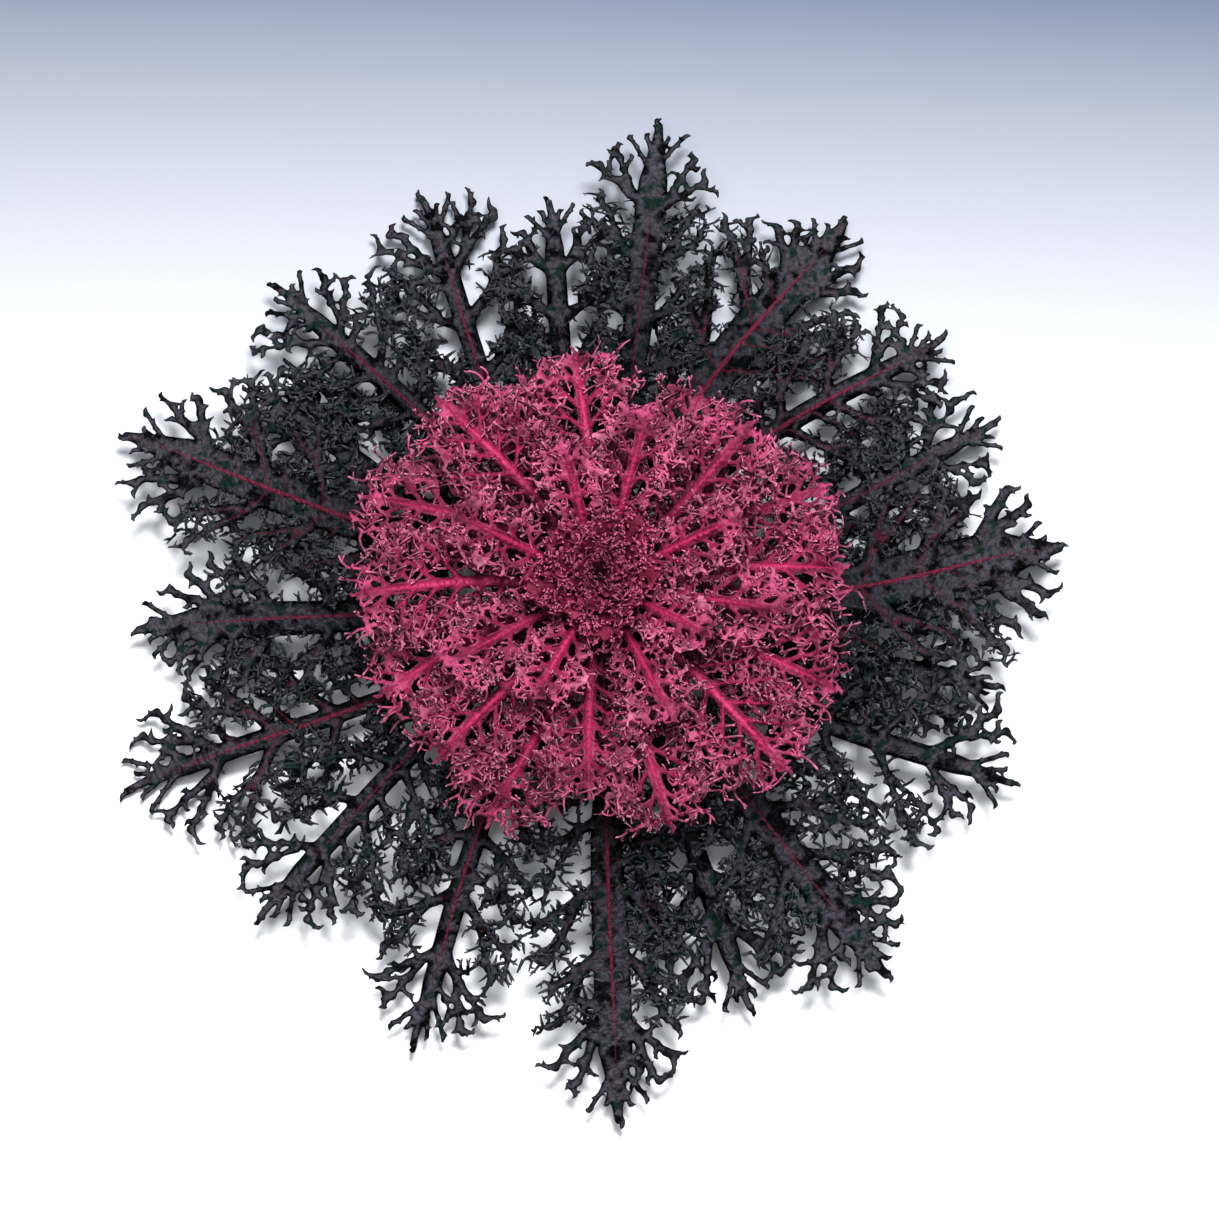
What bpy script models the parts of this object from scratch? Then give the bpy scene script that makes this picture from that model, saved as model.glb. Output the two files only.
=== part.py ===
"""Ornamental kale with feathered leaves, cut as one head and set down on its stem.

The head is a stem, nineteen dark outer leaves, twenty-five magenta inner leaves and a heart of small
curled leaves. Leaves follow one spiral up the stem, each turned by the golden angle from the last.
Every leaf lies on its own surface of revolution round the stem, and the surfaces never meet, so
leaves pass over each other clear.

Metres, +Z up. The origin is the centre of the cut face of the stem, and the front is -Y.
"""

import math
import random

import bmesh
import bpy
from mathutils import Vector

MM = 0.001
GAP = 0.3 * MM  # air between pieces that touch on the real plant

# Stem: a turned stalk, cut square at the bottom. Radius at each height, outer side from the top down.
STEM_TOP = 54 * MM
STEM_PROFILE = [
    (5.0 * MM, STEM_TOP),
    (6.6 * MM, 50 * MM),
    (9.6 * MM, 40 * MM),
    (11.6 * MM, 31 * MM),
    (12.2 * MM, 18 * MM),
    (12.6 * MM, 8 * MM),
    (11.8 * MM, 4 * MM),
    (12.4 * MM, 0.8 * MM),
    (11.8 * MM, 0.0),
]
STEM_SIDES = 16

# The spiral: leaf 0 is the lowest and oldest. Bearings are anticlockwise from +X.
SPIRAL_START = 121.4
GOLDEN_ANGLE = -137.508
DARK_COUNT = 19
MAGENTA_COUNT = 25
LEAF_COUNT = DARK_COUNT + MAGENTA_COUNT

# Height of each leaf's root on the stem.
DARK_ROOT = 9.5 * MM
DARK_ROOT_STEP = 1.25 * MM
MAGENTA_ROOT = 34.5 * MM
MAGENTA_ROOT_STEP = 0.8 * MM

# Dark leaves rise from the stem, arch over and come down to the surface that the head lies on.
DARK_ROOT_AT = 12 * MM  # distance from the stem's axis at which the root heights hold
DARK_ARCH = 11 * MM
DARK_RIM_AT = 150 * MM
DARK_RIM = 6 * MM
DARK_RIM_STEP = 0.7 * MM

# Magenta leaves rise more steeply the nearer they are to the heart, and level out.
MAGENTA_ROOT_AT = 7 * MM
MAGENTA_RISE = (15 * MM, 27 * MM)
MAGENTA_LEVEL_AT = (100 * MM, 62 * MM)
MAGENTA_DROOP = 5 * MM
MAGENTA_DROOP_FROM = 50 * MM
MAGENTA_DROOP_TO = 90 * MM

# One gentle swell runs through every leaf at the same place, so that it brings no two together.
SWELL = 2.4 * MM
SWELL_COUNT = 13
SWELL_IN = (30 * MM, 90 * MM)
SWELL_OUT = (115 * MM, 155 * MM)

BLADE = 0.8 * MM
RIB_DARK = (4.6 * MM, 1.4 * MM)  # thickness of the rib at the root and at the tip
RIB_MAGENTA = (3.0 * MM, 1.2 * MM)
RIB_INNER = (2.4 * MM, 1.1 * MM)
DARK_WEB = (3.4 * MM, 8.0 * MM)  # least and greatest half width of the web along the rib
MAGENTA_WEB = (2.0 * MM, 4.4 * MM)
INNER_WEB = (1.6 * MM, 3.0 * MM)

# Cut edge of one lobe, from the sinus behind it to the one ahead: share of the room along the rib,
# share of the lobe's length, and lift in mm.
DARK_LOBE = [
    (0.20, 0.34, 0.0),
    (0.04, 0.62, 0.9),
    (0.23, 0.66, 0.2),
    (0.30, 1.00, -0.4),
    (0.50, 0.62, 0.1),
    (0.80, 0.94, -0.9),
    (0.68, 0.38, 0.0),
]
OUTER_LOBE = [(0.12, 0.84, 0.7), (0.44, 0.56, 0.0), (0.80, 1.0, -0.7)]
INNER_LOBE = [(0.14, 0.85, 0.4), (0.45, 0.60, 0.0), (0.80, 1.0, -0.4)]

# The crown at the leaf's tip: shares of its length, along and across.
CROWN = [(0.62, 0.42), (0.60, 0.16), (1.0, 0.1), (0.64, -0.12), (0.74, -0.40)]
CROWN_SHARE = 0.15  # of the leaf's length
LOBE_LEAN = (68, 44)  # angle in degrees between a lobe and the rib, at the leaf's foot and at its tip
LOBE_SHARE = (0.36, 1.0)  # length of a lobe near the foot and at the widest, as a share of half the width
LOBE_SPREAD = (0.64, 1.04)  # how far lengths of lobes differ
LOBE_SHIFT = 0.03
TAPER = 0.22  # share of the leaf's length over which its outline narrows to the tip
TAPER_POWER = 0.5
NOTCH_MARGIN = 0.6 * MM  # least depth of a lobe's notch outside the web

# Reach from the axis in mm, bearing of the tip in degrees, and half the width in mm, in spiral order.
DARK_LEAVES = [
    (154, 113, 31),
    (134, 348, 27),
    (168, 201, 30),
    (156, 58, 33),
    (142, 290, 30),
    (138, 148, 29),
    (146, 25, 29),
    (157, 247, 29),
    (138, 97, 26),
    (148, 336, 31),
    (153, 183, 30),
    (146, 38, 30),
    (169, 272, 30),
    (154, 135, 32),
    (153, 7, 32),
    (152, 223, 32),
    (166, 83, 25),
    (154, 307, 33),
    (168, 160, 31),
]
# The outer magenta leaves. The inner ones shorten evenly towards the heart.
MAGENTA_LEAVES = [
    (81, 24, 20),
    (85, 245, 20),
    (73, 117, 19),
    (84, 336, 21),
    (79, 207, 20),
    (71, 62, 19),
    (82, 286, 19),
    (81, 160, 20),
    (79, 3, 20),
    (77, 228, 20),
    (75, 96, 19),
    (86, 314, 20),
    (78, 184, 19),
    (70, 45, 18),
    (70, 267, 18),
    (77, 132, 19),
]
INNER_REACH = (60 * MM, 40 * MM)
INNER_HALF_WIDTH = (15 * MM, 10 * MM)

# Heart: a small core that tight young leaves stand out of.
HEART_BASE = STEM_TOP + GAP
HEART_CORE_RADIUS = 4.4 * MM
HEART_CORE_HEIGHT = 9 * MM
HEART_LEAVES = 21
HEART_LEAF_LENGTH = (23 * MM, 8 * MM)
HEART_PITCH = (52, 82)  # degrees above level, outermost and innermost
HEART_CURL = 22  # degrees by which a young leaf leans out along its length
HEART_BLADE = 0.9 * MM
# Cut edge of a young leaf from root to tip: share of its length, and of half its width.
HEART_EDGE = [(-0.1, 0.2), (0.34, 0.95), (0.45, 0.5), (0.72, 1.0), (0.76, 0.42)]

GREEN_STEM = (0.35, 0.36, 0.22)
DARK_PURPLE = (0.035, 0.028, 0.036)
MAGENTA = (0.50, 0.035, 0.14)
CRIMSON = (0.20, 0.03, 0.06)


def smooth(x):
    """0 below 0, 1 above 1, and an easy curve between."""
    x = min(1.0, max(0.0, x))
    return x * x * (3 - 2 * x)


def share_of(value, start, end):
    """How far a value is from a start to an end, eased at both."""
    return smooth((value - start) / (end - start))


def between(ends, share):
    return ends[0] + (ends[1] - ends[0]) * share


def stem_radius(height):
    """Radius of the stem at a height, read along its profile."""
    for (r_top, z_top), (r_low, z_low) in zip(STEM_PROFILE, STEM_PROFILE[1:]):
        if z_low <= height <= z_top:
            return between((r_low, r_top), (height - z_low) / (z_top - z_low))
    return STEM_PROFILE[0][0]


class Leaf:
    """Where one leaf of the spiral lies: its midrib in plan, and its surface of revolution."""

    def __init__(self, order):
        self.order = order
        self.dark = order < DARK_COUNT
        self.share = (order - DARK_COUNT) / (MAGENTA_COUNT - 1)  # along the magenta leaves
        self.root_bearing = SPIRAL_START + GOLDEN_ANGLE * order
        if self.dark:
            self.root_height = DARK_ROOT + DARK_ROOT_STEP * order
            listed = DARK_LEAVES[order]
        else:
            self.root_height = MAGENTA_ROOT + MAGENTA_ROOT_STEP * (order - DARK_COUNT)
            listed = self.magenta_listing(order - DARK_COUNT)
        self.reach = listed[0] * MM
        self.half_width = listed[2] * MM
        turn = (listed[1] - self.root_bearing + 180) % 360 - 180
        self.tip_bearing = self.root_bearing + turn
        self.root = DARK_ROOT_AT if self.dark else MAGENTA_ROOT_AT
        for _ in range(8):
            self.root = stem_radius(self.height(self.root, 0) - 2 * MM) + 1.5 * GAP

    def magenta_listing(self, index):
        if index < len(MAGENTA_LEAVES):
            return MAGENTA_LEAVES[index]
        outer = len(MAGENTA_LEAVES)
        share = (index - outer) / (MAGENTA_COUNT - 1 - outer)
        reach = between(INNER_REACH, share) / MM
        half_width = between(INNER_HALF_WIDTH, share) / MM
        return reach, self.root_bearing, half_width

    def height(self, x, y):
        """Height of the leaf's upper face over a point in plan."""
        r = math.hypot(x, y)
        if self.dark:
            along = (r - DARK_ROOT_AT) / (DARK_RIM_AT - DARK_ROOT_AT)
            rim = DARK_RIM + DARK_RIM_STEP * self.order
            level = between((self.root_height, rim), along)
            level += DARK_ARCH * math.sin(math.pi * along)
        else:
            level_at = between(MAGENTA_LEVEL_AT, self.share)
            left = max(0.0, 1 - (r - MAGENTA_ROOT_AT) / (level_at - MAGENTA_ROOT_AT))
            level = self.root_height + between(MAGENTA_RISE, self.share) * (1 - left * left)
            level -= MAGENTA_DROOP * share_of(r, MAGENTA_DROOP_FROM, MAGENTA_DROOP_TO) ** 2
        swell = SWELL * share_of(r, *SWELL_IN) * (1 - share_of(r, *SWELL_OUT))
        return level + swell * math.sin(SWELL_COUNT * math.atan2(y, x) + 40 * r)

    def midrib(self, along):
        """The midrib's point in plan, at a distance from the stem's axis, and the direction across."""
        def point(r):
            share = smooth((r - self.root) / (self.reach - self.root))
            bearing = math.radians(between((self.root_bearing, self.tip_bearing), share))
            return Vector((r * math.cos(bearing), r * math.sin(bearing)))

        here = point(along)
        ahead = (point(along + MM) - here).normalized()
        return here, Vector((-ahead.y, ahead.x))

    def place(self, along, across):
        """A point of the blade, from its distance along the midrib and across it."""
        middle, side = self.midrib(along)
        flat = middle + side * across
        return Vector((flat.x, flat.y, self.height(flat.x, flat.y)))


class Blade:
    """A flat lobed blade in leaf coordinates, which is then laid on the leaf's surface."""

    def __init__(self):
        self.bm = bmesh.new()
        self.thickness = {}
        self.lift = {}

    def vertex(self, point, thickness=BLADE, lift=0.0):
        made = self.bm.verts.new((point[0], point[1], 0))
        self.thickness[made] = thickness
        self.lift[made] = lift
        return made

    def face(self, vertices):
        self.bm.faces.new(vertices)

    def finish(self, name, place, material):
        """Splits the blade into triangles, lays it in place and gives it its thickness."""
        bm = self.bm
        thickest = max(self.thickness.values())
        bm.normal_update()
        bmesh.ops.triangulate(bm, faces=bm.faces[:])
        bmesh.ops.recalc_face_normals(bm, faces=bm.faces[:])
        if sum(face.normal.z for face in bm.faces) < 0:
            bmesh.ops.reverse_faces(bm, faces=bm.faces[:])
        bm.verts.index_update()
        weights = {v.index: self.thickness[v] / thickest for v in bm.verts}
        for v in bm.verts:
            v.co = place(v.co.x, v.co.y) + Vector((0, 0, self.lift[v]))
        mesh = bpy.data.meshes.new(name)
        bm.to_mesh(mesh)
        bm.free()
        obj = bpy.data.objects.new(name, mesh)
        obj.data.materials.append(material)
        group = obj.vertex_groups.new(name="thickness")
        for index, weight in weights.items():
            group.add([index], weight, "REPLACE")
        solid = obj.modifiers.new("thickness", "SOLIDIFY")
        solid.thickness = thickest
        solid.offset = -1
        solid.vertex_group = group.name
        solid.thickness_vertex_group = 0
        return obj


def leaf_blade(leaf, lobes, edge, petiole, web, ribs, root_width):
    """The blade of one leaf: a rib, a web either side of it, and a row of lobes along each web.

    A lobe leaves the rib at an angle that closes towards the tip, so that no two lobes meet.
    """
    rng = random.Random(100 + leaf.order)
    blade = Blade()
    span = leaf.reach - leaf.root
    start = leaf.root + petiole * span
    last = leaf.reach - CROWN_SHARE * span
    step = (last - start) / lobes

    def rib(along):
        thickness = between(ribs, (along - leaf.root) / span)
        return blade.vertex((along, 0), thickness)

    def lean(along):
        return math.radians(between(LOBE_LEAN, (along - start) / (last - start)))

    def out(along, distance, side):
        angle = lean(along)
        return along + distance * math.cos(angle), side * distance * math.sin(angle)

    def web_reach(along):
        share = (along - start) / (last - start)
        return between(web, math.sin(math.pi * (0.1 + 0.62 * share))) / math.sin(lean(along))

    def web_edge(along, side):
        return blade.vertex(out(along, web_reach(along), side))

    def lobe_length(along, full):
        """How far a lobe reaches before it leaves the leaf's outline, which narrows to the tip."""
        angle = lean(along)
        low = 0.0
        high = leaf.half_width * full / math.sin(angle)
        for _ in range(16):
            middle = (low + high) / 2
            left = max(0.0, leaf.reach - along - middle * math.cos(angle)) / (TAPER * span)
            room = full * leaf.half_width * min(1.0, left) ** TAPER_POWER
            if middle * math.sin(angle) <= room:
                low = middle
            else:
                high = middle
        return low

    ribs_made = [rib(leaf.root), rib(start - 0.5 * petiole * span)]
    ribs_made += [rib(start + step * k) for k in range(lobes + 1)]
    ends = []
    for side in (1, -1):
        width = root_width / 2
        sides = [
            blade.vertex((leaf.root, side * width), ribs[0] * 0.5),
            blade.vertex((ribs_made[1].co.x, side * width * 0.72), ribs[0] * 0.4),
        ]
        sides += [web_edge(start + step * k, side) for k in range(lobes + 1)]
        for k in range(2):
            blade.face([ribs_made[k], sides[k], sides[k + 1], ribs_made[k + 1]])
        for k in range(lobes):
            share = (k + 0.5) / lobes
            foot = start + step * k
            full = between(LOBE_SHARE, math.sin(math.pi * (0.05 + 0.58 * share)))
            full *= rng.uniform(*LOBE_SPREAD)
            shift = rng.uniform(-LOBE_SHIFT, LOBE_SHIFT)
            lift = rng.choice((-1, 1)) * MM
            cut = []
            for room, reach, up in edge:
                along = foot + step * (room + shift)
                distance = max(lobe_length(along, full) * reach, web_reach(along) + NOTCH_MARGIN)
                cut.append(blade.vertex(out(along, distance, side), lift=lift * up))
            blade.face([ribs_made[k + 2], sides[k + 2], *cut, sides[k + 3], ribs_made[k + 3]])
        ends.append(sides[-1])

    tail = leaf.reach - last
    tip = [blade.vertex((last + along * tail, across * tail)) for along, across in CROWN]
    blade.face([ribs_made[-1], ends[0], *tip, ends[1]])
    return blade


def build_leaf(leaf, name, materials):
    if leaf.dark:
        blade = leaf_blade(leaf, 5, DARK_LOBE, 0.2, DARK_WEB, RIB_DARK, 8.5 * MM)
    elif leaf.order < DARK_COUNT + len(MAGENTA_LEAVES):
        blade = leaf_blade(leaf, 7, OUTER_LOBE, 0.14, MAGENTA_WEB, RIB_MAGENTA, 6.5 * MM)
    else:
        blade = leaf_blade(leaf, 5, INNER_LOBE, 0.12, INNER_WEB, RIB_INNER, 4.2 * MM)
    material = materials["dark_leaf"] if leaf.dark else materials["magenta_leaf"]
    return blade.finish(name, leaf.place, material)


def build_stem(material):
    """A turned stalk from its profile, with its cut face flat on the surface."""
    mesh = bpy.data.meshes.new("stem")
    bm = bmesh.new()
    outline = [(0.0, STEM_TOP), *STEM_PROFILE, (0.0, 0.0)]
    points = [bm.verts.new((r, 0, z)) for r, z in outline]
    for a, b in zip(points, points[1:]):
        bm.edges.new((a, b))
    bm.to_mesh(mesh)
    bm.free()
    stem = bpy.data.objects.new("stem", mesh)
    stem.data.materials.append(material)
    screw = stem.modifiers.new("turn", "SCREW")
    screw.steps = STEM_SIDES
    screw.render_steps = STEM_SIDES
    screw.use_merge_vertices = True
    screw.merge_threshold = 0.00005
    return stem


def heart_place(order):
    """Placing function for one young leaf of the heart, which stands up from the core and curls out."""
    share = order / (HEART_LEAVES - 1)
    bearing = math.radians(SPIRAL_START + GOLDEN_ANGLE * (LEAF_COUNT + order))
    outward = Vector((math.cos(bearing), math.sin(bearing), 0))
    side = Vector((-outward.y, outward.x, 0))
    pitch = between(HEART_PITCH, share)
    foot = Vector((0, 0, HEART_BASE + HEART_CORE_HEIGHT * (0.35 + 0.4 * share)))
    foot += outward * HEART_CORE_RADIUS * (0.75 - 0.55 * share)

    def place(along, across):
        curl = math.radians(pitch - HEART_CURL * along / HEART_LEAF_LENGTH[0])
        rise = Vector((0, 0, 1)) * math.sin(curl) + outward * math.cos(curl)
        return foot + rise * along + side * across

    return place


def heart_leaf(order, material):
    """A small toothed blade, its root sunk in the core."""
    length = between(HEART_LEAF_LENGTH, order / (HEART_LEAVES - 1))
    half = 0.4 * length
    blade = Blade()
    ribs = [blade.vertex((length * s, 0), HEART_BLADE) for s in (-0.1, 0.45, 1.0)]
    for side in (1, -1):
        cut = [
            blade.vertex((length * s, side * half * w), HEART_BLADE)
            for s, w in HEART_EDGE
        ]
        blade.face([ribs[0], *cut[:3], ribs[1]])
        blade.face([ribs[1], *cut[2:], ribs[2]])
    return blade.finish(f"heart_leaf_{order}", heart_place(order), material)


def made_mesh(obj):
    """The object with its modifiers applied."""
    graph = bpy.context.evaluated_depsgraph_get()
    mesh = bpy.data.meshes.new_from_object(obj.evaluated_get(graph))
    obj.modifiers.clear()
    obj.data = mesh
    return obj


def build_heart(head, material):
    """The core and its young leaves, joined in one body."""
    mesh = bpy.data.meshes.new("heart")
    bm = bmesh.new()
    bmesh.ops.create_uvsphere(bm, u_segments=10, v_segments=8, radius=1)
    low = [v for v in bm.verts if v.co.z < 0]
    for v in low:
        v.co.z *= 0.02
    for v in bm.verts:
        height = HEART_BASE + HEART_CORE_HEIGHT * (0.02 + v.co.z / 1.02)
        v.co = Vector((v.co.x * HEART_CORE_RADIUS, v.co.y * HEART_CORE_RADIUS, height))
    bm.to_mesh(mesh)
    bm.free()
    heart = bpy.data.objects.new("heart", mesh)
    heart.data.materials.append(material)
    head.objects.link(heart)

    young = bpy.data.collections.new("heart_leaves")
    bpy.context.scene.collection.children.link(young)
    for order in range(HEART_LEAVES):
        young.objects.link(heart_leaf(order, material))
    bpy.context.view_layer.update()
    for obj in young.objects:
        made_mesh(obj)
    join = heart.modifiers.new("join", "BOOLEAN")
    join.operand_type = "COLLECTION"
    join.collection = young
    join.operation = "UNION"
    join.solver = "MANIFOLD"
    bpy.context.view_layer.update()
    made_mesh(heart)
    for obj in list(young.objects):
        bpy.data.objects.remove(obj)
    bpy.data.collections.remove(young)


def plain_material(name, colour, roughness):
    material = bpy.data.materials.new(name)
    material.use_nodes = True
    shader = material.node_tree.nodes["Principled BSDF"]
    shader.inputs["Base Color"].default_value = (*colour, 1)
    shader.inputs["Roughness"].default_value = roughness
    shader.inputs["Metallic"].default_value = 0
    material.diffuse_color = (*colour, 1)
    return material


def main():
    for obj in list(bpy.data.objects):
        bpy.data.objects.remove(obj)
    materials = {
        "stem": plain_material("stem", GREEN_STEM, 0.7),
        "dark_leaf": plain_material("dark_leaf", DARK_PURPLE, 0.55),
        "magenta_leaf": plain_material("magenta_leaf", MAGENTA, 0.45),
        "heart": plain_material("heart", CRIMSON, 0.5),
    }
    head = bpy.data.collections.new("ornamental_kale")
    bpy.context.scene.collection.children.link(head)
    head.objects.link(build_stem(materials["stem"]))
    for order in range(LEAF_COUNT):
        leaf = Leaf(order)
        if leaf.dark:
            name = f"outer_leaf_{order + 1:02d}"
        else:
            name = f"inner_leaf_{order - DARK_COUNT + 1:02d}"
        head.objects.link(build_leaf(leaf, name, materials))
    build_heart(head, materials["heart"])


main()
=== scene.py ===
"""Dresses the ornamental kale head: feathered blades, fringes of curled teeth, veins, and the stage.

Every leaf is drawn flat first, in leaf coordinates: s runs out along the midrib from the stem's axis,
t runs across it, and h stands off the blade. Its branches are blended into one outline, which is
filled, given its thickness and laid on the leaf's own surface round the stem.
"""

import math
import random

import bpy
import numpy as np
from bpy.props import FloatProperty, FloatVectorProperty, PointerProperty
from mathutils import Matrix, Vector
from mathutils.geometry import delaunay_2d_cdt


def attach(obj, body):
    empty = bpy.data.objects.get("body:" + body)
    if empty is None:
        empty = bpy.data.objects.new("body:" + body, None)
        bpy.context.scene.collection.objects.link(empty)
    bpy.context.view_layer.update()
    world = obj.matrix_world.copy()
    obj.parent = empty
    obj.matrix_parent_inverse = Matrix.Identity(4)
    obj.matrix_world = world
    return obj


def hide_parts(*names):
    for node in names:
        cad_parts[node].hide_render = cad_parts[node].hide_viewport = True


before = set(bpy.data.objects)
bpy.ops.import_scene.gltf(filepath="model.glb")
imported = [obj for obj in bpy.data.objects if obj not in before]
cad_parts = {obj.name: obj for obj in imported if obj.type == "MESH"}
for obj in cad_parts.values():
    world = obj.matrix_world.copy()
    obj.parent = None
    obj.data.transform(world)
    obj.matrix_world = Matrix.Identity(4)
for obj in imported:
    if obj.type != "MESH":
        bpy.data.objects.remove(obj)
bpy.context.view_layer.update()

bl_info = {
    "name": "Ornamental kale head",
    "version": (1, 0, 0),
    "blender": (4, 5, 0),
    "location": "View3D > Sidebar > Kale",
    "description": "Grows the leaves of an ornamental kale head over its solid frame",
    "category": "Object",
}

MM = 0.001
MOST_TRIANGLES = 200_000

# The spiral of leaves, as the frame's solids have it. Bearings are anticlockwise from +X.
SPIRAL_START = 121.4
GOLDEN_ANGLE = -137.508
DARK_ROOT = 9.5 * MM
DARK_ROOT_STEP = 1.25 * MM
MAGENTA_ROOT = 34.5 * MM
MAGENTA_ROOT_STEP = 0.8 * MM
DARK_ROOT_AT = 12 * MM
DARK_ARCH = 11 * MM
DARK_RIM_AT = 150 * MM
DARK_RIM = 6 * MM
DARK_RIM_STEP = 0.7 * MM
MAGENTA_ROOT_AT = 7 * MM
MAGENTA_RISE = (15 * MM, 27 * MM)
MAGENTA_LEVEL_AT = (100 * MM, 62 * MM)
MAGENTA_DROOP = 5 * MM
MAGENTA_DROOP_SPAN = (50 * MM, 90 * MM)
# How far a leaf's root goes on into the stalk, past the end of its solid.
SUNK = 1.4 * MM

# All leaves swell and sink together round the head, by this much in their middle reach.
SWELL = 2.4 * MM
SWELL_COUNT = 13
SWELL_IN = (30 * MM, 90 * MM)
SWELL_OUT = (115 * MM, 155 * MM)

# Reach from the axis in mm, bearing of the tip in degrees, and half the width in mm, in spiral order.
DARK_LEAVES = [
    (154, 113, 31),
    (134, 348, 27),
    (168, 201, 30),
    (156, 58, 33),
    (142, 290, 30),
    (138, 148, 29),
    (146, 25, 29),
    (157, 247, 29),
    (138, 97, 26),
    (148, 336, 31),
    (153, 183, 30),
    (146, 38, 30),
    (169, 272, 30),
    (154, 135, 32),
    (153, 7, 32),
    (152, 223, 32),
    (166, 83, 25),
    (154, 307, 33),
    (168, 160, 31),
]
MAGENTA_LEAVES = [
    (81, 24, 20),
    (85, 245, 20),
    (73, 117, 19),
    (84, 336, 21),
    (79, 207, 20),
    (71, 62, 19),
    (82, 286, 19),
    (81, 160, 20),
    (79, 3, 20),
    (77, 228, 20),
    (75, 96, 19),
    (86, 314, 20),
    (78, 184, 19),
    (70, 45, 18),
    (70, 267, 18),
    (77, 132, 19),
]
DARK_COUNT = len(DARK_LEAVES)
MAGENTA_COUNT = 25
INNER_REACH = (60, 40)
INNER_HALF_WIDTH = (15, 10)

# The young leaves at the heart, from the outermost in.
HEART_COUNT = 21
HEART_BASE = 54.3 * MM
HEART_CORE_RADIUS = 4.4 * MM
HEART_CORE_HEIGHT = 9 * MM
HEART_LENGTH = (23 * MM, 8 * MM)
HEART_PITCH = (52, 82)
HEART_CURL = 22

# Radius and height in mm along the stalk, from the cut face up, and how tall its rings are.
RING = 1.6
STEM_SIDES = 40
STEM_PROFILE = [
    (11.8, 0),
    (12.4, 0.8),
    (11.8, 4),
    (12.6, 8),
    (12.2, 18),
    (11.6, 31),
    (9.6, 40),
    (6.6, 50),
    (5, 54),
]

# Corner bits of a grid square: 1 low left, 2 low right, 4 high right, 8 high left. Each entry is a
# step of the outline from one side of the square to another, with the blade on its left.
LOW, RIGHT, HIGH, LEFT = range(4)
OUTLINE_STEPS = {
    1: [(LOW, LEFT)],
    2: [(RIGHT, LOW)],
    3: [(RIGHT, LEFT)],
    4: [(HIGH, RIGHT)],
    5: [(LOW, LEFT), (HIGH, RIGHT)],
    6: [(HIGH, LOW)],
    7: [(HIGH, LEFT)],
    8: [(LEFT, HIGH)],
    9: [(LOW, HIGH)],
    10: [(RIGHT, LOW), (LEFT, HIGH)],
    11: [(RIGHT, HIGH)],
    12: [(LEFT, RIGHT)],
    13: [(LOW, RIGHT)],
    14: [(LEFT, LOW)],
}


def smooth(x):
    x = np.clip(x, 0, 1)
    return x * x * (3 - 2 * x)


def between(ends, share):
    return ends[0] + (ends[1] - ends[0]) * share


class Form:
    """The proportions of one kind of leaf. A pair runs from foot to tip, or from least to most."""

    def __init__(self, **values):
        self.__dict__.update(values)

    def but(self, **values):
        """The same form with other values for some of its proportions."""
        return Form(**{**self.__dict__, **values})


# Each arm of a lobe runs between two points. Each point has how far along the lobe's share of the rib it
# is, and how far out it is as a share of the lobe's length.
DARK_ARMS = [((0.40, 0.0), (0.30, 1.0)), ((0.38, 0.40), (0.80, 0.94))]
MAGENTA_ARMS = [((0.46, 0.0), (0.80, 1.0)), ((0.50, 0.36), (0.12, 0.84))]
LOBE_LEAN = (68, 44)
LOBE_SHARE = (0.36, 1.0)
LOBE_SPREAD = (0.64, 1.04)
LOBE_SHIFT = 0.03
CROWN_SHARE = 0.15
TAPER = 0.22
TAPER_POWER = 0.5

# How wide the arms of a dark leaf are, from a lacy leaf to a plate, and how plate-like the leaves are
# that aren't lacy, by their order in the spiral. A plate is broader along its rib and has clearer veins.
BREADTH = (0.62, 2.2)
LACY = (0, 0.35)
PLATES = {14: 1.0, 12: 0.5, 18: 0.6, 10: 0.45, 3: 0.7, 16: 0.35, 17: 0.4}
PLATE_BREADTH = 1.5
PLATE_VEINS = 1.6

# Straight stretches in the centre line of a midrib, an arm and a spur.
RIB_STEPS = 14
ARM_STEPS = 7
SPUR_STEPS = 3

# Spurs leave an arm at an angle in degrees, and bend by up to so many radians. An arm bows by a share of
# the distance between two lobes.
SPUR_ANGLE = (36, 68)
SPUR_BEND = 0.55
ARM_BOW = 0.10

# Ends of the last branches, along and across the leaf, as shares of the crown's length.
CROWN_ENDS = ((0.66, 0.42), (0.72, 0.18), (0.99, 0.06), (0.70, -0.15), (0.78, -0.40))

# A blade thins towards its edge from this depth on, down to this share of its thickness.
EDGE_DEPTH = 1.2 * MM
EDGE_SHARE = 0.55

# A tooth starts a little inside the blade's edge and swings either way, in degrees. Its radius varies.
# Most teeth fork once or twice near the end, into shorter and thinner branches.
TOOTH_SWING = 35
TOOTH_SINK = 0.4 * MM
TOOTH_SPREAD = (0.85, 1.15)
FORK_CHANCES = (0.2, 0.45, 0.35)
FORK_LENGTH = (0.35, 0.6)
FORK_TURN = 0.7
FORK_RADIUS = 0.8

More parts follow.
